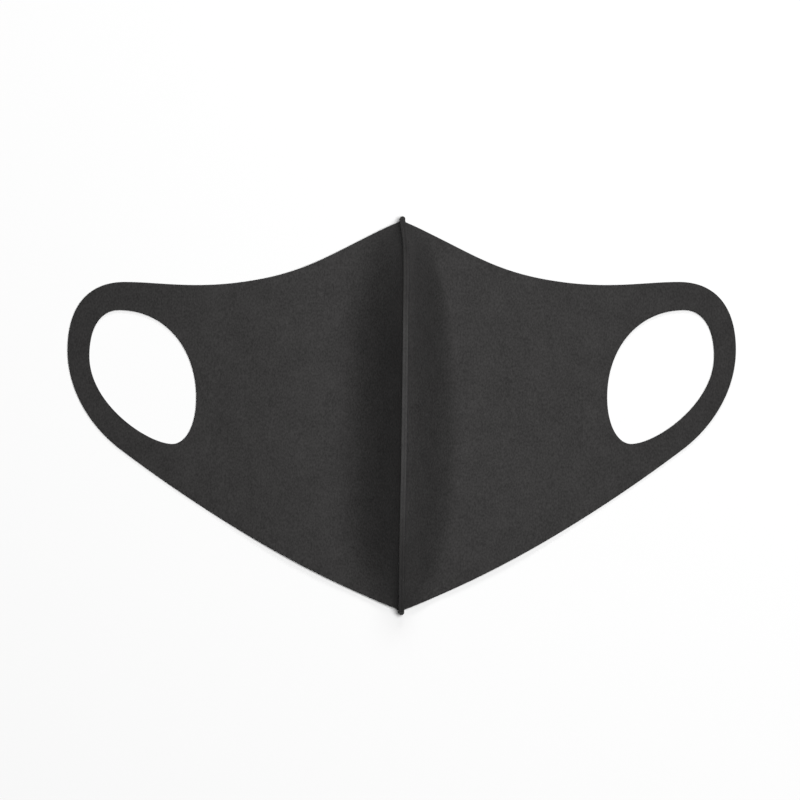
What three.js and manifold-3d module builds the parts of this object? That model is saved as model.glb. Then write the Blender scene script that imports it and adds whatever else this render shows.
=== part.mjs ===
// A soft foam-cloth face mask, laid open with its inner side down: two die-cut panels, each with its
// ear loop in one piece, joined along an arched ridge by a welded fin.
// Millimetres. +X is the wearer's left-to-right width, +Y points to the nose, +Z up from the surface.
import * as THREE from "three";
import { mergeVertices } from "three/addons/utils/BufferGeometryUtils.js";
import Module from "manifold-3d";

// The outline, seen from above
const MASK_WIDTH = 231.6; // loop to loop
const NOSE_REACH = 67.5; // from the middle to the panels' top corner
const CHIN_REACH = 67.5; // from the middle to the panels' bottom corner
const LOOP_TOP = 46.35; // how far the loops' top edge is towards the nose
const EAR_OPENING_WIDTH = 37.1;
const EAR_OPENING_HEIGHT = 46.4;
const STRAP_WIDTH = 7.5; // the loop's band beside the outer end of the opening
const TOP_BAND = 9.75; // the cloth above the opening

// The cloth and how it stands
const CLOTH_WALL = 1.5;
const RIDGE_RISE = 34; // how far the ridge climbs within its own steep zone
const RIDGE_HALF_WIDTH = 28; // the steep zone beside the fin, of which the seam's rows take shares
const CHEEK_RISE = 5; // the gentle dome of the panels below the ridge
const EDGE_LIFT = 1.2; // how far the free edges bow up between seam and loop
const END_LIFT = 0.6; // the nose and chin corners, above the surface
const DOME_FULLNESS = 2.2; // 2 is a parabola, more is a flatter dome with steeper edges
const SEAM_DRIFT = 1.35; // how far the seam wanders off the middle line

// The welded fin
const FIN_THICKNESS = 1.95; // two layers pressed together
const FIN_HEIGHT = 3.2; // above the outer face of level cloth
const FIN_INSIDE = 1.3; // below the inner face of level cloth
const FIN_END_REACH = 1.4; // past the panels' corners
const FIN_ROUNDING = 0.5; // of its long edges
const SEAM_CLEARANCE = 0.3; // between the fin and each panel

const CLOTH_COLOUR = 0x3b3a3a;
const CLOTH_ROUGHNESS = 0.95;

// Sizes that follow from those
const HALF_WIDTH = MASK_WIDTH / 2;
const CHEEK_WIDTH = HALF_WIDTH - STRAP_WIDTH - EAR_OPENING_WIDTH;
const LOOP_WIDTH = STRAP_WIDTH + EAR_OPENING_WIDTH;
const LOOP_HEIGHT = TOP_BAND + EAR_OPENING_HEIGHT;
const SEAM_MIDDLE = (NOSE_REACH - CHIN_REACH) / 2;
const SEAM_HALF = (NOSE_REACH + CHIN_REACH) / 2;

// The cut edge from nose to chin, as smooth curves through few points. In rows of the cheek, `out` is a
// share of the cheek's width and `up` a share from the loops' top edge to the nose, or, below zero, of the
// chin's reach. In rows of the loop, `out` and `up` are shares of the loop's frame, from its inner end and
// from its top. `heading` is in degrees, and `back` and `ahead` are the curve's handles, as shares of the
// straight distance to the row before and the row after.
const CUT_EDGE = [
  { place: "cheek", out: 0, up: 1, heading: -23, back: 0, ahead: 0.42 },
  { place: "cheek", out: 0.702, up: 0.038, heading: -10, back: 0.39, ahead: 0.46 },
  { place: "loop", out: 0.557, up: 0, heading: 0, back: 0.28, ahead: 0.41 },
  { place: "loop", out: 1, up: -0.418, heading: -90, back: 0.49, ahead: 0.35 },
  { place: "loop", out: 0.584, up: -1.036, heading: -143, back: 0.345, ahead: 0.33 },
  { place: "chin", out: 0, up: -1, heading: -159, back: 0.33, ahead: 0 },
];

// The ear opening, counter-clockwise through the four points where it touches its frame.
const EAR_OPENING = [
  { out: 1, up: 0.656, heading: 90, back: 0.4, ahead: 0.63 },
  { out: 0.723, up: 1, heading: 180, back: 0.26, ahead: 0.4 },
  { out: 0, up: 0.35, heading: 270, back: 0.42, ahead: 0.55 },
  { out: 0.225, up: 0, heading: 0, back: 0.25, ahead: 0.2 },
];

// The seam from chin to nose. `at` runs from -1 at the chin to 1 at the nose. `rise` is a share of the
// ridge's rise, `left` and `right` are how far its flanks reach, as shares of its half width, and `drift` is
// a share of the seam's wandering.
const SEAM_ROWS = [
  { at: -1, rise: 0, left: 0.46, right: 0.42, drift: -0.1 },
  { at: -0.85, rise: 0.4, left: 0.72, right: 0.54, drift: -0.08 },
  { at: -0.6, rise: 0.88, left: 0.94, right: 0.69, drift: 0.1 },
  { at: -0.25, rise: 1, left: 0.97, right: 0.8, drift: 0.47 },
  { at: 0.1, rise: 1, left: 0.95, right: 0.8, drift: 0.74 },
  { at: 0.5, rise: 0.97, left: 0.88, right: 0.67, drift: 0.97 },
  { at: 0.85, rise: 0.53, left: 0.68, right: 0.44, drift: 1.02 },
  { at: 1, rise: 0, left: 0.45, right: 0.35, drift: 0.17 },
];

// How each flank bends: 0 is ever steeper up to the fin, more rounds it over before the fin.
const FLANK_BEND = { left: 1.2, right: 8 };

// Mesh steps
const EDGE_STEPS = 14; // for each curve of an outline
const RIDGE_COLUMNS = 15;
const CHEEK_COLUMNS = 6;
const ROWS = 36;
const SEAM_STEPS = 56;
const TIP_STEPS = 3;
const SLOPE_STEP = 0.01; // between two heights that give a slope

// How far the tool bodies run past what they cut, as a share of it
const TOOL_OVERSHOOT = 1.1;

const wasm = await Module();
wasm.setup();

const along = (degrees) =>
  new THREE.Vector2(1, 0).rotateAround(new THREE.Vector2(), THREE.MathUtils.degToRad(degrees));

// A smooth outline through rows of { point, heading, back, ahead }.
function smoothOutline(rows, closed) {
  const path = new THREE.CurvePath();
  const last = closed ? rows.length : rows.length - 1;
  for (let i = 0; i < last; i++) {
    const from = rows[i];
    const to = rows[(i + 1) % rows.length];
    const reach = from.point.distanceTo(to.point);
    const leave = from.point.clone().addScaledVector(along(from.heading), from.ahead * reach);
    const arrive = to.point.clone().addScaledVector(along(to.heading), -to.back * reach);
    path.add(new THREE.CubicBezierCurve(from.point, leave, arrive, to.point));
  }
  return path.getPoints(EDGE_STEPS);
}

function cutEdgePoint({ place, out, up }) {
  if (place === "loop")
    return new THREE.Vector2(HALF_WIDTH - LOOP_WIDTH * (1 - out), LOOP_TOP + up * LOOP_HEIGHT);
  const y = place === "chin" ? up * CHIN_REACH : LOOP_TOP + up * (NOSE_REACH - LOOP_TOP);
  return new THREE.Vector2(out * CHEEK_WIDTH, y);
}

function earOpeningPoint({ out, up }) {
  const x = HALF_WIDTH - STRAP_WIDTH - EAR_OPENING_WIDTH * (1 - out);
  const y = LOOP_TOP - TOP_BAND - EAR_OPENING_HEIGHT * (1 - up);
  return new THREE.Vector2(x, y);
}

const placed = (rows, pointOf) => rows.map((row) => ({ ...row, point: pointOf(row) }));
const cutEdge = smoothOutline(placed(CUT_EDGE, cutEdgePoint), false);
const earOpening = smoothOutline(placed(EAR_OPENING, earOpeningPoint), true);

// The two long edges of a panel, as heights over X, for the dome between them.
const outermost = cutEdge.reduce((best, p, i) => (p.x > cutEdge[best].x ? i : best), 0);
const topEdge = cutEdge.slice(0, outermost + 1);
const lowerEdge = cutEdge.slice(outermost).reverse();

function edgeAt(edge, x) {
  const i = edge.findIndex((p) => p.x >= x);
  if (i < 0) return edge[edge.length - 1].y;
  if (i === 0) return edge[0].y;
  const share = (x - edge[i - 1].x) / (edge[i].x - edge[i - 1].x);
  return THREE.MathUtils.lerp(edge[i - 1].y, edge[i].y, share);
}

// A smooth value between the rows of a table, by their column `at`, and straight on past its ends.
function between(rows, column, at) {
  const points = rows.map((row) => new THREE.Vector3(row.at, row[column], 0));
  const last = rows.length - 1;
  const held = THREE.MathUtils.clamp(at, rows[0].at, rows[last].at);
  const i = Math.max(rows.findIndex((row) => row.at >= held), 1);
  const span = rows[i].at - rows[i - 1].at;
  const slope = (k) => {
    const before = points[Math.max(k - 1, 0)];
    const after = points[Math.min(k + 1, last)];
    return (after.y - before.y) / (after.x - before.x);
  };
  const hermite = new THREE.CubicBezierCurve(
    new THREE.Vector2(0, points[i - 1].y),
    new THREE.Vector2(1 / 3, points[i - 1].y + (slope(i - 1) * span) / 3),
    new THREE.Vector2(2 / 3, points[i].y - (slope(i) * span) / 3),
    new THREE.Vector2(1, points[i].y),
  );
  return hermite.getPoint((held - rows[i - 1].at) / span).y + (at - held) * slope(at < held ? 0 : last);
}

const seamShare = (y) => (y - SEAM_MIDDLE) / SEAM_HALF;
const domeShare = (share) => 1 - Math.abs(share) ** DOME_FULLNESS;
const driftAt = (y) => SEAM_DRIFT * between(SEAM_ROWS, "drift", seamShare(y));
const flankReach = (side, y) => RIDGE_HALF_WIDTH * between(SEAM_ROWS, side, seamShare(y));

// The flank's height share, from 0 at its foot to 1 at the fin, and straight on past it.
function flankShare(climb, bend) {
  const top = Math.min(climb, 1);
  const share = (top ** 3 * (4 + bend * (4 - 3 * top))) / (4 + bend);
  return share + ((climb - top) * 12) / (4 + bend);
}

// The height of the cloth's middle layer at `out` from the seam on one side.
function clothHeight(side, out, y) {
  const climb = Math.max(1 - (out - FIN_THICKNESS / 2) / flankReach(side, y), 0);
  const rise = RIDGE_RISE * between(SEAM_ROWS, "rise", seamShare(y));
  const ridge = rise * flankShare(climb, FLANK_BEND[side]);
  const x = Math.max(out, 0);
  const inward = Math.max(1 - (x / CHEEK_WIDTH) ** 2, 0) ** 2;
  const top = edgeAt(topEdge, x);
  const low = edgeAt(lowerEdge, x);
  const across = (2 * (y - low)) / (top - low) - 1;
  const dome = CHEEK_RISE * inward * domeShare(across);
  const bow = EDGE_LIFT * Math.sin((Math.PI * Math.min(x, CHEEK_WIDTH)) / CHEEK_WIDTH) ** 2;
  return CLOTH_WALL / 2 + END_LIFT * inward + ridge + dome + bow;
}

// The height of the cloth's middle layer where it meets the fin.
const crestHeight = (y) => clothHeight("left", FIN_THICKNESS / 2, y);

// One closed body from rings of points: each ring is joined to the next and the ends are closed.
function bodyOfRings(rings) {
  const count = rings[0].length;
  const middle = (ring) =>
    ring.reduce((sum, p) => sum.add(p), new THREE.Vector3()).divideScalar(count);
  const points = [...rings.flat(), middle(rings[0]), middle(rings[rings.length - 1])];
  const index = [];
  for (let r = 0; r < rings.length - 1; r++)
    for (let k = 0; k < count; k++) {
      const a = r * count + k;
      const b = r * count + ((k + 1) % count);
      index.push(a, b, b + count, a, b + count, a + count);
    }
  const end = (rings.length - 1) * count;
  for (let k = 0; k < count; k++) {
    const next = (k + 1) % count;
    index.push(next, k, points.length - 2);
    index.push(end + k, end + next, points.length - 1);
  }
  return geometryOf(points, index);
}

function geometryOf(points, index) {
  const geometry = new THREE.BufferGeometry().setFromPoints(points);
  geometry.setIndex(index);
  return geometry;
}

function solidOf(geometry) {
  const bare = geometry.clone();
  bare.deleteAttribute("normal");
  bare.deleteAttribute("uv");
  const merged = mergeVertices(bare, 1e-4);
  const solid = new wasm.Manifold(
    new wasm.Mesh({
      numProp: 3,
      vertProperties: new Float32Array(merged.attributes.position.array),
      triVerts: new Uint32Array(merged.index.array),
    }),
  );
  if (solid.volume() <= 0) throw new Error("a tool body is inside out");
  return solid;
}

function geometryFrom(solid) {
  const { vertProperties, triVerts } = solid.getMesh();
  const geometry = new THREE.BufferGeometry();
  geometry.setAttribute("position", new THREE.BufferAttribute(new Float32Array(vertProperties), 3));
  geometry.setIndex(new THREE.BufferAttribute(new Uint32Array(triVerts), 1));
  geometry.computeVertexNormals();
  return geometry;
}

// Even steps from one value to another, the last left out.
const steps = (from, to, count) =>
  Array.from({ length: count }, (_, i) => THREE.MathUtils.lerp(from, to, i / count));

// How far out the sheet's columns are at one place of the seam: they follow the flank's foot.
function columnsAt(side, y, margin) {
  const foot = FIN_THICKNESS / 2 + flankReach(side, y);
  return [
    ...steps(-margin - SEAM_DRIFT, foot, RIDGE_COLUMNS),
    ...steps(foot, CHEEK_WIDTH, CHEEK_COLUMNS),
    CHEEK_WIDTH,
    HALF_WIDTH + margin,
  ];
}

// The bent cloth as a wide sheet of true thickness, past every cut edge, before it is cut.
function bentSheet(side) {
  const sign = side === "left" ? -1 : 1;
  const margin = CLOTH_WALL * 2;
  const rows = Array.from({ length: ROWS + 1 }, (_, i) => {
    const even = (2 * i) / ROWS - 1;
    const closerAtEnds = Math.sin((Math.PI / 2) * even);
    return SEAM_MIDDLE + (SEAM_HALF + margin) * 0.5 * (even + closerAtEnds);
  });
  const places = rows.map((y) => columnsAt(side, y, margin));
  const layer = (face) =>
    places[0].map((_, c) =>
      rows.map((y, r) => {
        const x = places[r][c];
        const out = x - sign * driftAt(y) * Math.max(1 - x / RIDGE_HALF_WIDTH, 0);
        const height = (dx, dy) => clothHeight(side, out + dx, y + dy);
        const slopeX = (height(SLOPE_STEP, 0) - height(-SLOPE_STEP, 0)) / (2 * SLOPE_STEP);
        const slopeY = (height(0, SLOPE_STEP) - height(0, -SLOPE_STEP)) / (2 * SLOPE_STEP);
        const normal = new THREE.Vector3(-slopeX * sign, -slopeY, 1).normalize();
        const flat = x > CHEEK_WIDTH - SLOPE_STEP;
        if (flat) normal.set(0, 0, 1);
        const z = flat ? CLOTH_WALL / 2 : height(0, 0);
        return new THREE.Vector3(sign * x, y, z).addScaledVector(normal, (face * CLOTH_WALL) / 2);
      }),
    );
  const upper = layer(1);
  const lower = layer(-1);
  const rings = upper.map((column, c) => {
    const ring = [...column, ...lower[c].toReversed()];
    return sign > 0 ? ring : ring.toReversed();
  });
  return sheetOfRings(rings, rows.length);
}

// A closed sheet from rings that go along its upper face and back along its lower one.
function sheetOfRings(rings, across) {
  const count = rings[0].length;
  const index = [];
  const quad = (a, b, c, d) => index.push(a, b, c, a, c, d);
  for (let r = 0; r < rings.length - 1; r++)
    for (let k = 0; k < count; k++) {
      const next = (k + 1) % count;
      quad(r * count + next, r * count + k, (r + 1) * count + k, (r + 1) * count + next);
    }
  const end = (rings.length - 1) * count;
  for (let k = 0; k < across - 1; k++) {
    quad(k, k + 1, count - 2 - k, count - 1 - k);
    quad(end + k + 1, end + k, end + count - 1 - k, end + count - 2 - k);
  }
  return geometryOf(rings.flat(), index);
}

// The blank that the cutting die leaves, as a tall block with the ear opening through it.
function dieCutBlock(side) {
  const sign = side === "left" ? -1 : 1;
  const place = (p) => new THREE.Vector2(sign * p.x, p.y);
  const pastSeam = RIDGE_HALF_WIDTH;
  const nose = cutEdge[0];
  const chin = cutEdge[cutEdge.length - 1];
  const beyond = [new THREE.Vector2(-pastSeam, chin.y), new THREE.Vector2(-pastSeam, nose.y)];
  const shape = new THREE.Shape([...cutEdge, ...beyond].map(place));
  shape.holes.push(new THREE.Path(earOpening.map(place)));
  const tall = 2 * (RIDGE_RISE + CHEEK_RISE + FIN_HEIGHT);
  return new THREE.ExtrudeGeometry(shape, { depth: 2 * tall, bevelEnabled: false }).translate(0, 0, -tall);
}

// Everything on one side of the fin, clear of it.
function sideBlock(side) {
  const sign = side === "left" ? -1 : 1;
  const offset = sign * (FIN_THICKNESS / 2 + SEAM_CLEARANCE);
  const far = sign * (HALF_WIDTH + SEAM_HALF);
  const rings = [];
  for (let i = 0; i <= SEAM_STEPS; i++) {
    const y = SEAM_MIDDLE + TOOL_OVERSHOOT * SEAM_HALF * ((2 * i) / SEAM_STEPS - 1);
    const near = driftAt(y) + offset;
    const ring = [
      new THREE.Vector3(near, y, -SEAM_HALF),
      new THREE.Vector3(far, y, -SEAM_HALF),
      new THREE.Vector3(far, y, SEAM_HALF),
      new THREE.Vector3(near, y, SEAM_HALF),
    ];
    rings.push(sign > 0 ? ring.toReversed() : ring);
  }
  return bodyOfRings(rings);
}

function panel(side) {
  const cloth = solidOf(bentSheet(side));
  const cut = cloth.intersect(solidOf(dieCutBlock(side))).intersect(solidOf(sideBlock(side)));
  return geometryFrom(cut);
}

// The fin's section at one place of the seam: `thick` across and `up` from the cloth's middle layer.
function finSection(shrink) {
  const half = FIN_THICKNESS / 2;
  const top = CLOTH_WALL / 2 + FIN_HEIGHT;
  const foot = -CLOTH_WALL / 2 - FIN_INSIDE;
  const r = FIN_ROUNDING;
  const diagonal = r * (1 - Math.SQRT1_2);
  const right = [
    [half - r, foot],
    [half - diagonal, foot + diagonal],
    [half, foot + r],
    [half, top - r],
    [half - diagonal, top - diagonal],
    [half - r, top],
  ];
  const left = right.map(([x, z]) => [-x, z]).toReversed();
  const middle = (top + foot) / 2;
  return [...right, ...left].toReversed().map(([x, z]) => [x, middle + (z - middle) * shrink]);
}

function seamFin() {
  const chinEnd = SEAM_MIDDLE - SEAM_HALF;
  const noseEnd = SEAM_MIDDLE + SEAM_HALF;
  const tip = FIN_THICKNESS / 2;
  const places = [];
  for (let i = 0; i < TIP_STEPS; i++) {
    const turn = (Math.PI / 2) * (i / TIP_STEPS);
    const shrink = 1 - (tip / FIN_HEIGHT) * (1 - Math.sin(turn));
    places.push({ past: FIN_END_REACH - tip * Math.sin(turn), shrink });
  }
  const body = Array.from({ length: SEAM_STEPS + 1 }, (_, i) => {
    const even = (2 * i) / SEAM_STEPS - 1;
    const share = 0.5 * (even + Math.sin((Math.PI / 2) * even));
    const end = SEAM_HALF + FIN_END_REACH - tip;
    return { y: SEAM_MIDDLE + share * end, shrink: 1 };
  });
  const rings = [
    ...places.map(({ past, shrink }) => ({ y: chinEnd - past, shrink })),
    ...body,
    ...places.toReversed().map(({ past, shrink }) => ({ y: noseEnd + past, shrink })),
  ];
  return bodyOfRings(
    rings.map(({ y, shrink }) => {
      const held = THREE.MathUtils.clamp(y, chinEnd, noseEnd);
      const step = SLOPE_STEP;
      const slope = (crestHeight(held + step) - crestHeight(held - step)) / (2 * step);
      const stretch = Math.hypot(1, slope);
      return finSection(shrink).map(([thick, rise]) => {
        const z = Math.max(crestHeight(held) + rise * stretch, 0);
        return new THREE.Vector3(driftAt(held) + thick, y, z);
      });
    }),
  );
}

function piece(name, geometry) {
  const material = new THREE.MeshStandardMaterial({
    color: CLOTH_COLOUR,
    roughness: CLOTH_ROUGHNESS,
    metalness: 0,
  });
  const mesh = new THREE.Mesh(geometry, material);
  mesh.name = name;
  return mesh;
}

const mask = new THREE.Group();
mask.add(piece("left_panel", panel("left")));
mask.add(piece("right_panel", panel("right")));
mask.add(piece("centre_seam", seamFin()));

export default mask;
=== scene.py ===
"""A soft dark grey foam-cloth face mask, laid open on a pale surface with its inner side down."""

import math

import bpy
import numpy as np
from mathutils.geometry import delaunay_2d_cdt
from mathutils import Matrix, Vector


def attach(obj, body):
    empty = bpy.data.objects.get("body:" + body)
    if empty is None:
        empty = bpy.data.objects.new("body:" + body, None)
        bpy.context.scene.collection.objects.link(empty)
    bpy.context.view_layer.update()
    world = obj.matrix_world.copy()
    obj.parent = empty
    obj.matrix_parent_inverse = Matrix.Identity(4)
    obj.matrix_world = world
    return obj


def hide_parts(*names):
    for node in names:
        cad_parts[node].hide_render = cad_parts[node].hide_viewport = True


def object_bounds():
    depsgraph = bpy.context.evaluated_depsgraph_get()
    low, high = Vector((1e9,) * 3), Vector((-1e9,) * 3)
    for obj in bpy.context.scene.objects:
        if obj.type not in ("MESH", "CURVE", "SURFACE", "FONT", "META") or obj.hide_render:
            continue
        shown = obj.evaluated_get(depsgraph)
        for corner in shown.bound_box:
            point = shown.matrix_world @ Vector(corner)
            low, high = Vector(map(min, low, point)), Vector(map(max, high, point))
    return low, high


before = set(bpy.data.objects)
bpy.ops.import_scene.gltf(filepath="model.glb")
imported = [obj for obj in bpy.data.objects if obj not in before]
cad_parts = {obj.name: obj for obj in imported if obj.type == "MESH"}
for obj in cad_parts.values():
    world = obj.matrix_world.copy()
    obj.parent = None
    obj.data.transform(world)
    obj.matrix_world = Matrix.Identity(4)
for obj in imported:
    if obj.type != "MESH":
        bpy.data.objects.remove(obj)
cad_low, cad_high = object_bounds()

# Sizes in millimetres, from the model that the frame holds
MM = 0.001
HALF_WIDTH = (cad_high.x - cad_low.x) / 2 / MM
NOSE_REACH = 67.5
CHIN_REACH = 67.5
LOOP_TOP = 46.35
EAR_OPENING_WIDTH = 37.1
EAR_OPENING_HEIGHT = 46.4
STRAP_WIDTH = 7.5
TOP_BAND = 9.75

CLOTH_WALL = 1.5
RIDGE_RISE = 34
RIDGE_HALF_WIDTH = 28
CHEEK_RISE = 5
EDGE_LIFT = 1.2
END_LIFT = 0.6
DOME_FULLNESS = 2.2
SEAM_DRIFT = 1.35
FLANK_BEND = {"left": 1.2, "right": 8}  # the higher, the straighter the flank

FIN_THICKNESS = 1.95
FIN_HEIGHT = 3.2
FIN_INSIDE = 1.3
FIN_END_REACH = 1.4
FIN_TIP = 0.9  # how far its ends are rounded

CHEEK_WIDTH = HALF_WIDTH - STRAP_WIDTH - EAR_OPENING_WIDTH
LOOP_WIDTH = STRAP_WIDTH + EAR_OPENING_WIDTH
LOOP_HEIGHT = TOP_BAND + EAR_OPENING_HEIGHT
SEAM_MIDDLE = (NOSE_REACH - CHIN_REACH) / 2
SEAM_HALF = (NOSE_REACH + CHIN_REACH) / 2

# The finish of the cut and the weld
RIM_RADIUS = 0.34  # the die rounds the cloth's edge
RIM_ANGLES = np.radians(np.linspace(0, 90, 5))  # of the rings round it, a quarter turn being its flat
MITRE_LIMIT = 0.4  # so that a sharp corner doesn't reach far in
SEAM_GAP = 0.05  # between a panel and the fin
LIP = 0.3  # how far the cloth turns up as it meets the fin
LIP_REACH = 0.45
FIN_ROUNDING = 0.36
FIN_RINGS = 340
TIP_ANGLES = np.radians(np.linspace(10, 90, 9))  # of the rings round each end of the fin
TIP_DROP = 0.25  # how much lower the fin gets at its very end
FLOOR_CLEARANCE = 0.02  # under the fin's ends
GROOVE_DEPTH = 0.16  # between the fin's two layers
GROOVE_WIDTH = 0.17
EDGE_STEP = 0.8  # between the points along a rim
CURVE_POINTS = 200  # of each curve of an outline, before its points are spaced evenly
LINE_POINTS = 400  # of the welded edge, likewise
CROWN_POINTS = 19  # across the fin's crown and sole
FLANK_POINTS = 9  # up each side of the fin
LATTICE = 1.05  # between the mesh's points on a panel
LATTICE_CLEARANCE = 0.55 * LATTICE  # from those points to a rim
SLOPE_STEP = 0.02  # between a point and its neighbours where a slope is measured
SHARP_ANGLE = math.radians(50)

# The cut edge from nose to chin. `out` and `up` are shares of the cheek's or the loop's frame, `heading`
# is in degrees, `back` and `ahead` are the curve's handles as shares of the way to the next row.
CUT_EDGE = [
    dict(place="cheek", out=0, up=1, heading=-23, back=0, ahead=0.42),
    dict(place="cheek", out=0.702, up=0.038, heading=-10, back=0.39, ahead=0.46),
    dict(place="loop", out=0.557, up=0, heading=0, back=0.28, ahead=0.41),
    dict(place="loop", out=1, up=-0.418, heading=-90, back=0.49, ahead=0.35),
    dict(place="loop", out=0.584, up=-1.036, heading=-143, back=0.345, ahead=0.33),
    dict(place="chin", out=0, up=-1, heading=-159, back=0.33, ahead=0),
]
EAR_OPENING = [
    dict(out=1, up=0.656, heading=90, back=0.4, ahead=0.63),
    dict(out=0.723, up=1, heading=180, back=0.26, ahead=0.4),
    dict(out=0, up=0.35, heading=270, back=0.42, ahead=0.55),
    dict(out=0.225, up=0, heading=0, back=0.25, ahead=0.2),
]
# The seam from chin to nose: shares of the ridge's rise, of its flanks' reach and of the seam's drift
SEAM_ROWS = [
    dict(at=-1, rise=0, left=0.46, right=0.42, drift=-0.1),
    dict(at=-0.85, rise=0.4, left=0.72, right=0.54, drift=-0.08),
    dict(at=-0.6, rise=0.88, left=0.94, right=0.69, drift=0.1),
    dict(at=-0.25, rise=1, left=0.97, right=0.8, drift=0.47),
    dict(at=0.1, rise=1, left=0.95, right=0.8, drift=0.74),
    dict(at=0.5, rise=0.97, left=0.88, right=0.67, drift=0.97),
    dict(at=0.85, rise=0.53, left=0.68, right=0.44, drift=1.02),
    dict(at=1, rise=0, left=0.45, right=0.35, drift=0.17),
]


def along(degrees):
    return np.array([math.cos(math.radians(degrees)), math.sin(math.radians(degrees))])


def smooth_outline(rows, points, closed):
    """A dense line through the rows' points, with their headings and handles."""
    t = np.linspace(0, 1, CURVE_POINTS, endpoint=False)[:, None]
    pieces = []
    for i in range(len(rows) if closed else len(rows) - 1):
        a, b = rows[i], rows[(i + 1) % len(rows)]
        start, end = points[i], points[(i + 1) % len(rows)]
        reach = np.linalg.norm(end - start)
        leave = start + a["ahead"] * reach * along(a["heading"])
        arrive = end - b["back"] * reach * along(b["heading"])
        pieces.append(
            (1 - t) ** 3 * start + 3 * (1 - t) ** 2 * t * leave + 3 * (1 - t) * t**2 * arrive + t**3 * end
        )
    if not closed:
        pieces.append(points[-1][None])
    return np.vstack(pieces)


def cut_edge_point(row):
    if row["place"] == "loop":
        return np.array([HALF_WIDTH - LOOP_WIDTH * (1 - row["out"]), LOOP_TOP + row["up"] * LOOP_HEIGHT])
    y = row["up"] * CHIN_REACH if row["place"] == "chin" else LOOP_TOP + row["up"] * (NOSE_REACH - LOOP_TOP)
    return np.array([row["out"] * CHEEK_WIDTH, y])


def ear_opening_point(row):
    x = HALF_WIDTH - STRAP_WIDTH - EAR_OPENING_WIDTH * (1 - row["out"])
    return np.array([x, LOOP_TOP - TOP_BAND - EAR_OPENING_HEIGHT * (1 - row["up"])])


cut_edge = smooth_outline(CUT_EDGE, [cut_edge_point(row) for row in CUT_EDGE], closed=False)
ear_opening = smooth_outline(EAR_OPENING, [ear_opening_point(row) for row in EAR_OPENING], closed=True)
outermost = cut_edge[:, 0].argmax()
top_edge = cut_edge[: outermost + 1]
lower_edge = cut_edge[outermost:][::-1]


def edge_at(edge, x):
    return np.interp(x, edge[:, 0], edge[:, 1])


def between(column, at):
    """A smooth value between the seam's rows."""
    places = np.array([row["at"] for row in SEAM_ROWS], float)
    values = np.array([row[column] for row in SEAM_ROWS], float)
    before, after = np.r_[0, np.arange(len(places) - 1)], np.r_[np.arange(1, len(places)), len(places) - 1]
    slope = (values[after] - values[before]) / (places[after] - places[before])
    i = np.clip(np.searchsorted(places, at), 1, len(places) - 1)
    span = places[i] - places[i - 1]
    t = np.clip((at - places[i - 1]) / span, 0, 1)
    return (
        (2 * t**3 - 3 * t**2 + 1) * values[i - 1]
        + (t**3 - 2 * t**2 + t) * span * slope[i - 1]
        + (3 * t**2 - 2 * t**3) * values[i]
        + (t**3 - t**2) * span * slope[i]
    )


def seam_share(y):
    return np.clip((y - SEAM_MIDDLE) / SEAM_HALF, -1, 1)


def dome_share(share):
    return 1 - np.abs(share) ** DOME_FULLNESS


def drift(y):
    return SEAM_DRIFT * between("drift", seam_share(y))


def flank_share(climb, bend):
    """The flank's height share, from 0 at its foot to 1 at the fin, and straight on past it."""
    top = np.minimum(climb, 1)
    share = top**3 * (4 + bend * (4 - 3 * top)) / (4 + bend)
    return share + (climb - top) * 12 / (4 + bend)


def cloth_height(side, out, y):
    """The height of the cloth's middle layer at `out` from the seam on one side."""
    share = seam_share(y)
    reach = RIDGE_HALF_WIDTH * between(side, share)
    climb = np.maximum(1 - (out - FIN_THICKNESS / 2) / reach, 0)
    ridge = RIDGE_RISE * between("rise", share) * flank_share(climb, FLANK_BEND[side])
    x = np.maximum(out, 0)
    inward = np.maximum(1 - (x / CHEEK_WIDTH) ** 2, 0) ** 2
    top, low = edge_at(top_edge, x), edge_at(lower_edge, x)
    dome = CHEEK_RISE * inward * dome_share(2 * (y - low) / (top - low) - 1)
    bow = EDGE_LIFT * np.sin(np.pi * np.minimum(x, CHEEK_WIDTH) / CHEEK_WIDTH) ** 2
    return CLOTH_WALL / 2 + END_LIFT * inward + ridge + dome + bow


def crest_height(y):
    """The height of the cloth's middle layer where it meets the fin."""
    return cloth_height("left", np.full_like(y, FIN_THICKNESS / 2), y)


def resampled(line, step, closed=False):
    """Points at even steps along a line."""
    line = np.vstack([line, line[:1]]) if closed else line
    lengths = np.r_[0, np.cumsum(np.linalg.norm(np.diff(line, axis=0), axis=1))]
    count = max(int(round(lengths[-1] / step)), 2)
    places = np.linspace(0, lengths[-1], count + 1)
    even = np.column_stack([np.interp(places, lengths, line[:, k]) for k in (0, 1)])
    return even[:-1] if closed else even


def inset(loop, distance):
    """A closed anticlockwise loop moved inwards, with mitred corners."""
    ahead = np.roll(loop, -1, axis=0) - loop
    ahead /= np.linalg.norm(ahead, axis=1)[:, None]
    left = np.column_stack([-ahead[:, 1], ahead[:, 0]])
    before = np.roll(left, 1, axis=0)
    middle = left + before
    middle /= np.linalg.norm(middle, axis=1)[:, None]
    mitre = np.maximum((middle * left).sum(axis=1), MITRE_LIMIT)
    return loop + middle * (distance / mitre)[:, None]


def inside(points, loop):
    """Which points lie within a closed loop."""
    x, y = points[:, 0][:, None], points[:, 1][:, None]
    x0, y0 = loop[:, 0], loop[:, 1]
    x1, y1 = np.roll(x0, -1), np.roll(y0, -1)
    rise = np.where(y1 == y0, 1e-12, y1 - y0)
    crossing = ((y0 > y) != (y1 > y)) & (x < x0 + (y - y0) * (x1 - x0) / rise)
    return crossing.sum(axis=1) % 2 == 1


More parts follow.
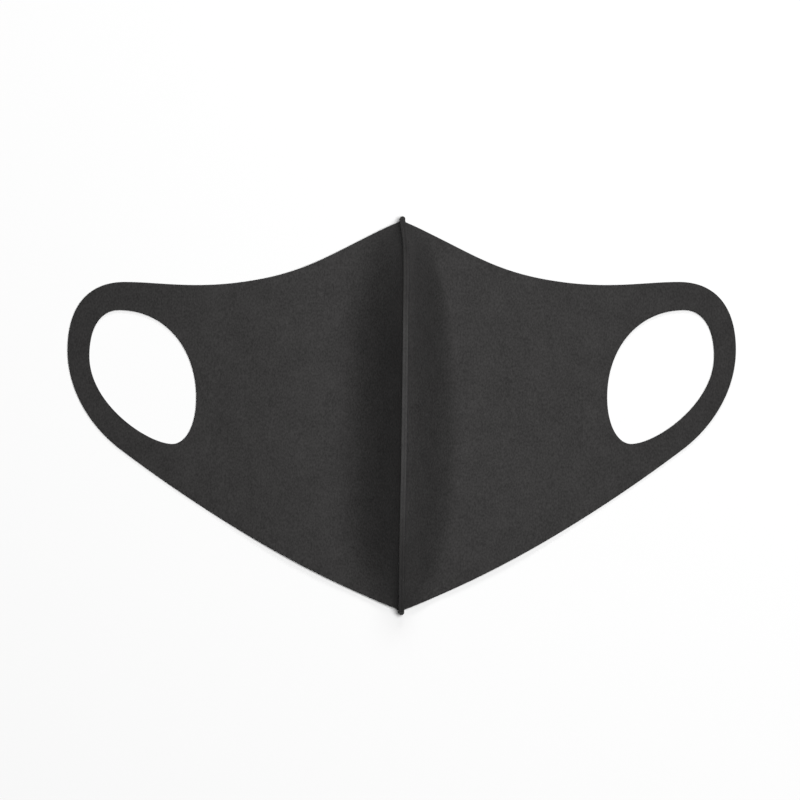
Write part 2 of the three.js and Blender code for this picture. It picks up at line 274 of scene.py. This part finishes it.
def distance_to(points, ring):
    """How far each point is from the nearest point of a ring."""
    nearest = np.full(len(points), np.inf)
    for start in range(0, len(ring), 200):
        gap = points[:, None] - ring[None, start : start + 200]
        nearest = np.minimum(nearest, np.sqrt((gap**2).sum(axis=2)).min(axis=1))
    return nearest


def panel_outline(side):
    """The panel's closed outline, anticlockwise, and which of its points are cut rather than welded."""
    sign = -1 if side == "left" else 1
    past = cut_edge[:, 0] - sign * drift(cut_edge[:, 1]) - FIN_THICKNESS / 2 - SEAM_GAP
    free = np.flatnonzero(past > 0)
    corners = []
    for inner, outer in ((free[0] - 1, free[0]), (free[-1] + 1, free[-1])):
        share = past[inner] / (past[inner] - past[outer])
        corners.append(cut_edge[inner] + share * (cut_edge[outer] - cut_edge[inner]))
    top, bottom = corners
    y = np.linspace(top[1], bottom[1], LINE_POINTS)
    welded = resampled(np.column_stack([sign * drift(y) + FIN_THICKNESS / 2 + SEAM_GAP, y]), EDGE_STEP)
    cut = resampled(np.vstack([bottom, cut_edge[free][::-1], top]), EDGE_STEP)
    is_cut = np.r_[np.zeros(len(welded), bool), np.ones(len(cut) - 2, bool)]
    return np.vstack([welded[:-1], cut[:-1]]), is_cut


def panel_plan(side):
    """The panel's flat mesh: its rim rings, its inner points, and the triangles between them."""
    outer, cut = panel_outline(side)
    opening = resampled(ear_opening, EDGE_STEP, closed=True)[::-1]
    rims = []
    for loop in (outer, opening):
        rims.append([inset(loop, RIM_RADIUS * (1 - math.cos(angle))) for angle in RIM_ANGLES])
    boundary, hole = rims[0][-1], rims[1][-1]
    xs = np.arange(0, HALF_WIDTH, LATTICE)
    ys = np.arange(-SEAM_HALF, SEAM_HALF, LATTICE * math.sqrt(3) / 2)
    grid = np.array([(x + (j % 2) * LATTICE / 2, y) for j, y in enumerate(ys) for x in xs])
    grid = grid[inside(grid, boundary) & ~inside(grid, hole)]
    grid = grid[distance_to(grid, np.vstack([boundary, hole])) > LATTICE_CLEARANCE]
    points = np.vstack([boundary, hole, grid])
    first = len(boundary)
    ring = [(i, (i + 1) % first) for i in range(first)]
    ring += [(first + i, first + (i + 1) % len(hole)) for i in range(len(hole))]
    verts, _, faces, sources, _, _ = delaunay_2d_cdt([tuple(p) for p in points], ring, [], 0, 1e-6)
    assert len(verts) == len(points), "the flat mesh gained points"
    order = [source[0] for source in sources]
    faces = np.array([[order[i] for i in face] for face in faces])
    middles = points[faces].mean(axis=1)
    faces = faces[inside(middles, boundary) & ~inside(middles, hole)]
    return rims, cut, points, faces


def panel_heights(side, plan):
    """Middle height and half the cloth's upright thickness at each point of the plan."""
    sign = -1 if side == "left" else 1
    x, y = plan[:, 0], plan[:, 1]

    def height(dx, dy):
        shifted = sign * drift(y + dy) * np.maximum(1 - (x + dx) / RIDGE_HALF_WIDTH, 0)
        return cloth_height(side, x + dx - shifted, y + dy)

    slope_x = (height(SLOPE_STEP, 0) - height(-SLOPE_STEP, 0)) / (2 * SLOPE_STEP)
    slope_y = (height(0, SLOPE_STEP) - height(0, -SLOPE_STEP)) / (2 * SLOPE_STEP)
    flat = x > CHEEK_WIDTH
    middle = np.where(flat, CLOTH_WALL / 2, height(0, 0))
    half = np.where(flat, 1, np.sqrt(1 + slope_x**2 + slope_y**2)) * CLOTH_WALL / 2
    return middle, half


def mesh_object(name, points, faces, material):
    mesh = bpy.data.meshes.new(name)
    mesh.from_pydata([tuple(p) for p in np.asarray(points) * MM], [], [tuple(map(int, f)) for f in faces])
    mesh.validate()
    mesh.shade_smooth()
    mesh.set_sharp_from_angle(angle=SHARP_ANGLE)
    mesh.materials.append(material)
    made = bpy.data.objects.new(name, mesh)
    bpy.context.scene.collection.objects.link(made)
    return made


def panel_faces(triangles, inner_count, ring_counts, size):
    """The faces of a panel's upper side, of its lower side and of the wall between their rims."""
    upper = [tuple(face) for face in triangles]
    wall = []
    inner_start, ring_start = 0, inner_count
    for count in ring_counts:
        # From the outermost ring to the one that the triangles share
        starts = [ring_start + k * count for k in range(len(RIM_ANGLES) - 1)] + [inner_start]
        rings = [list(range(start, start + count)) for start in starts]
        for a, b in zip(rings[:-1], rings[1:]):
            upper += [(a[i], a[(i + 1) % count], b[(i + 1) % count], b[i]) for i in range(count)]
        ring = rings[0]
        for i in range(count):
            after = (i + 1) % count
            wall.append((ring[i] + size, ring[after] + size, ring[after], ring[i]))
        inner_start += count
        ring_start += count * (len(RIM_ANGLES) - 1)
    lower = [tuple(i + size for i in reversed(face)) for face in upper]
    return upper + lower + wall


def make_panel(side, material):
    sign = -1 if side == "left" else 1
    rims, cut, inner, triangles = panel_plan(side)
    ring_counts = [len(rim[0]) for rim in rims]
    plan = np.vstack([inner, *rims[0][:-1], *rims[1][:-1]])
    # Each point's turn round the rim; the weld keeps a square edge.
    turn = np.full(len(plan), RIM_ANGLES[-1])
    at = len(inner)
    for count, rounded in zip(ring_counts, (cut, np.ones(ring_counts[1], bool))):
        for angle in RIM_ANGLES[:-1]:
            turn[at : at + count] = np.where(rounded, angle, RIM_ANGLES[-1])
            at += count
    front = sign * drift(plan[:, 1]) + FIN_THICKNESS / 2 + SEAM_GAP
    away = np.maximum(plan[:, 0] - front, 0)
    middle, half = panel_heights(side, plan)
    fall = half - RIM_RADIUS * (1 - np.sin(turn))
    rise = fall + LIP * np.exp(-away / LIP_REACH)
    layers = [np.column_stack([sign * plan[:, 0], plan[:, 1], z]) for z in (middle + rise, middle - fall)]
    faces = panel_faces(triangles, len(inner), ring_counts, len(plan))
    if sign < 0:
        faces = [tuple(reversed(face)) for face in faces]
    return mesh_object(f"{side}_panel_cloth", np.vstack(layers), faces, material)


def fin_section():
    """The fin's section: across, and up from the cloth's middle layer."""
    half = FIN_THICKNESS / 2
    top = CLOTH_WALL / 2 + FIN_HEIGHT
    foot = -CLOTH_WALL / 2 - FIN_INSIDE
    across = half * np.cos(np.linspace(0, np.pi, CROWN_POINTS))
    past = np.maximum(np.abs(across) - (half - FIN_ROUNDING), 0)
    crown = top - FIN_ROUNDING + np.sqrt(FIN_ROUNDING**2 - past**2)
    crown -= GROOVE_DEPTH * np.exp(-((across / GROOVE_WIDTH) ** 2))
    upper = np.column_stack([across, crown])
    flank = np.linspace(top - FIN_ROUNDING, foot + FIN_ROUNDING, FLANK_POINTS)[1:-1]
    sole = foot + FIN_ROUNDING - np.sqrt(FIN_ROUNDING**2 - past**2)
    lower = np.column_stack([-across, sole])
    left = np.column_stack([np.full(len(flank), -half), flank])
    right = np.column_stack([np.full(len(flank), half), flank[::-1]])
    return np.vstack([upper, left, lower, right])


def make_fin(material):
    section = fin_section()
    centre = (section[:, 1].max() + section[:, 1].min()) / 2
    past = FIN_END_REACH - FIN_TIP * (1 - np.cos(TIP_ANGLES))
    body = np.linspace(-1, 1, FIN_RINGS)[1:-1] * (SEAM_HALF + FIN_END_REACH - FIN_TIP)
    y = SEAM_MIDDLE + np.r_[-SEAM_HALF - past, body, (SEAM_HALF + past)[::-1]]
    thin = np.r_[np.sin(TIP_ANGLES), np.ones(len(body)), np.sin(TIP_ANGLES)[::-1]]
    short = 1 - TIP_DROP * (1 - thin)
    held = np.clip(y, SEAM_MIDDLE - SEAM_HALF, SEAM_MIDDLE + SEAM_HALF)
    slope = (crest_height(held + SLOPE_STEP) - crest_height(held - SLOPE_STEP)) / (2 * SLOPE_STEP)
    stretch = np.sqrt(1 + slope**2)
    across = thin[:, None] * section[None, :, 0]
    rise = centre + (section[None, :, 1] - centre) * short[:, None]
    z = np.maximum(crest_height(held)[:, None] + rise * stretch[:, None], FLOOR_CLEARANCE)
    x = drift(held)[:, None] + across
    count = len(section)
    points = np.column_stack([x.ravel(), np.repeat(y, count), z.ravel()])
    faces = []
    for r in range(len(y) - 1):
        for k in range(count):
            a, b = r * count + k, r * count + (k + 1) % count
            faces.append((a, a + count, b + count, b))
    last = (len(y) - 1) * count
    faces.append(tuple(range(count)))
    faces.append(tuple(last + k for k in reversed(range(count))))
    return mesh_object("centre_seam_fin", points, faces, material)


class Value:
    """A socket of a material, so that sums on it read as plain arithmetic."""

    def __init__(self, socket):
        self.socket = socket

    def _maths(self, operation, other):
        tree = self.socket.node.id_data
        node = tree.nodes.new("ShaderNodeMath")
        node.operation = operation
        tree.links.new(self.socket, node.inputs[0])
        if isinstance(other, Value):
            tree.links.new(other.socket, node.inputs[1])
        else:
            node.inputs[1].default_value = other
        return Value(node.outputs[0])

    def __add__(self, other):
        return self._maths("ADD", other)

    def __sub__(self, other):
        return self._maths("SUBTRACT", other)

    def __mul__(self, other):
        return self._maths("MULTIPLY", other)


class Finish:
    """A procedural material."""

    def __init__(self, name):
        self.material = bpy.data.materials.new(name)
        self.material.use_nodes = True
        self.tree = self.material.node_tree
        self.shader = self.tree.nodes["Principled BSDF"]

    def node(self, kind, settings=None, sockets=None, output=0):
        """Any node, by its type, with its settings first and then its sockets' values or links."""
        node = self.tree.nodes.new(kind)
        for name, value in (settings or {}).items():
            setattr(node, name, value)
        for name, value in (sockets or {}).items():
            self.put(node.inputs[name], value)
        return Value(node.outputs[output])

    def put(self, slot, value):
        if isinstance(value, Value):
            self.tree.links.new(value.socket, slot)
        else:
            slot.default_value = value

    def mixed(self, share, first, second):
        """A colour between two others."""
        return self.node("ShaderNodeMix", {"data_type": "RGBA"}, {0: share, 6: first, 7: second}, 2)

    def scaled(self, colour, factor):
        """A colour made darker or lighter."""
        return self.node("ShaderNodeVectorMath", {"operation": "SCALE"}, {0: colour, "Scale": factor})

    def set(self, **values):
        for name, value in values.items():
            self.put(self.shader.inputs[name.replace("_", " ")], value)


# The cloth's finish
GRAIN_DRAW = (1.0, 0.6, 0.4)  # the grain runs a little up and down
GRAIN_DETAIL = 2.5
GRAIN_RELIEF = 0.7
PORES_TO_A_GRAIN = 1.4
PORE_RELIEF = 0.45
RELIEF_DEPTH = 0.06  # millimetres
PATCHES_TO_A_METRE = 130
PATCH_DETAIL = 4.0
PATCH_ROUGHNESS = 0.62
PATCH_TONE = 0.45
TONE_SPREAD = 0.5
CLOTH_GLOSS = 0.05


def cloth_finish(name, tone, painted_shade_tone, painted_light_pool, grain_size, grain_tone, bump, roughness):
    """Matt foam cloth: a fine grain that runs a little up and down, with soft uneven patches in it.

    `painted_light_pool` paints a pool of light: near its centre the tone is `tone`, as if lit there, and
    away from it it goes over to the darker `painted_shade_tone`, painted shade. It gives that centre, along
    the grain's own axes, and how far from it the change starts and ends, in millimetres.
    """
    finish = Finish(name)
    place = finish.node("ShaderNodeTexCoord", output="Object")
    drawn = finish.node("ShaderNodeVectorMath", {"operation": "MULTIPLY"}, {0: place, 1: GRAIN_DRAW})
    grain = finish.node(
        "ShaderNodeTexNoise",
        {},
        {"Vector": drawn, "Scale": 1 / (grain_size * MM), "Detail": GRAIN_DETAIL},
        "Fac",
    )
    pores = finish.node(
        "ShaderNodeTexVoronoi",
        {"feature": "F1"},
        {"Vector": drawn, "Scale": PORES_TO_A_GRAIN / (grain_size * MM)},
        "Distance",
    )
    patches = finish.node(
        "ShaderNodeTexNoise",
        {},
        {
            "Vector": place,
            "Scale": PATCHES_TO_A_METRE,
            "Detail": PATCH_DETAIL,
            "Roughness": PATCH_ROUGHNESS,
        },
        "Fac",
    )
    shade = (grain - 0.5) * grain_tone + (patches - 0.5) * PATCH_TONE + 0.5
    distance = finish.node(
        "ShaderNodeVectorMath",
        {"operation": "DISTANCE"},
        {0: drawn, 1: [c * MM for c in painted_light_pool["centre"]]},
        "Value",
    )
    share = finish.node(
        "ShaderNodeMapRange",
        {"interpolation_type": "SMOOTHSTEP"},
        {"Value": distance, "From Min": painted_light_pool["start"] * MM, "From Max": painted_light_pool["end"] * MM},
    )
    # Painted light: lighter round the given centre and darker away from it, standing in for the light's
    # falloff
    base = finish.mixed(share, (*tone, 1), (*painted_shade_tone, 1))
    dark = finish.scaled(base, 1 - TONE_SPREAD)
    light = finish.scaled(base, 1 + TONE_SPREAD)
    colour = finish.mixed(shade, dark, light)
    relief = grain * GRAIN_RELIEF + pores * PORE_RELIEF
    normal = finish.node(
        "ShaderNodeBump", {}, {"Height": relief, "Strength": bump, "Distance": RELIEF_DEPTH * MM}, "Normal"
    )
    finish.set(Base_Color=colour, Roughness=roughness, Normal=normal)
    finish.shader.inputs["Specular IOR Level"].default_value = CLOTH_GLOSS
    return finish.material


def plain_finish(name, tone, roughness):
    finish = Finish(name)
    finish.set(Base_Color=(*tone, 1), Roughness=roughness)
    return finish.material


# The camera looks straight down, and its picture is 800 pixels square
PICTURE_WIDTH = 277.44  # what the picture spans at the surface
PICTURE_CENTRE = (-0.62, 5.43)  # the picture's middle, from the mask's
CAMERA_HEIGHT = 1500
FAR_CLIP = 100  # metres
camera = bpy.data.objects.new("camera", bpy.data.cameras.new("camera"))
camera.data.lens = camera.data.sensor_width * CAMERA_HEIGHT / PICTURE_WIDTH
camera.location = (PICTURE_CENTRE[0] * MM, PICTURE_CENTRE[1] * MM, CAMERA_HEIGHT * MM)
camera.data.clip_end = FAR_CLIP
bpy.context.scene.collection.objects.link(camera)
bpy.context.scene.camera = camera

# The mask
cloth = cloth_finish(
    "foam_cloth",
    tone=(0.0375, 0.0364, 0.0362),
    # Painted light: lighter round a point right of and above the mask's middle, painted shade out towards
    # the loops
    painted_shade_tone=(0.0275, 0.0267, 0.0265),
    painted_light_pool=dict(centre=(14, 30, 3), start=40, end=138),
    grain_size=0.5,
    grain_tone=1.26,
    bump=0.35,
    roughness=0.93,
)
pressed = cloth_finish(
    "pressed_foam_cloth",
    # Painted highlight and shade: the fin lighter along its middle, darker towards its nose and chin ends
    tone=(0.0455, 0.0444, 0.0442),
    painted_shade_tone=(0.0345, 0.0335, 0.0333),
    painted_light_pool=dict(centre=(1, 1, 17), start=9, end=30),
    grain_size=0.42,
    grain_tone=0.9,
    bump=0.3,
    roughness=0.85,
)
# The panels and the fin, each in place of its part from the model
for side in ("left", "right"):
    panel = make_panel(side, cloth)
    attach(panel, "root")
    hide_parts(f"{side}_panel")
fin = make_fin(pressed)
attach(fin, "root")
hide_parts("centre_seam")

# The pale surface and the soft light, in metres
FLOOR_REACH = 20
FLOOR_DROP = 0.0001
floor_mesh = bpy.data.meshes.new("floor")
corners = [(-FLOOR_REACH, -FLOOR_REACH), (FLOOR_REACH, -FLOOR_REACH), (FLOOR_REACH, FLOOR_REACH)]
corners.append((-FLOOR_REACH, FLOOR_REACH))
floor_mesh.from_pydata([(x, y, -FLOOR_DROP) for x, y in corners], [], [(0, 1, 2, 3)])
floor_mesh.materials.append(plain_finish("pale_floor", (0.85, 0.85, 0.85), 0.9))
floor = bpy.data.objects.new("floor", floor_mesh)
bpy.context.scene.collection.objects.link(floor)


def soft_light(name, place, size, watts):
    """A square light that faces the mask."""
    data = bpy.data.lights.new(name, "AREA")
    data.size = size
    data.energy = watts
    light = bpy.data.objects.new(name, data)
    light.location = place
    light.rotation_mode = "QUATERNION"
    light.rotation_quaternion = light.location.to_track_quat("Z", "Y")
    light.visible_camera = False
    bpy.context.scene.collection.objects.link(light)


soft_light("key", (0.4, 0.18, 2.6), 0.78, 73.5)
soft_light("fill", (0.1, 1.05, 1.35), 0.5, 5)
world = bpy.data.worlds.new("studio")
world.use_nodes = True
world.node_tree.nodes["Background"].inputs["Color"].default_value = (1, 1, 1, 1)
world.node_tree.nodes["Background"].inputs["Strength"].default_value = 0.01
bpy.context.scene.world = world
bpy.context.scene.view_settings.view_transform = "Standard"
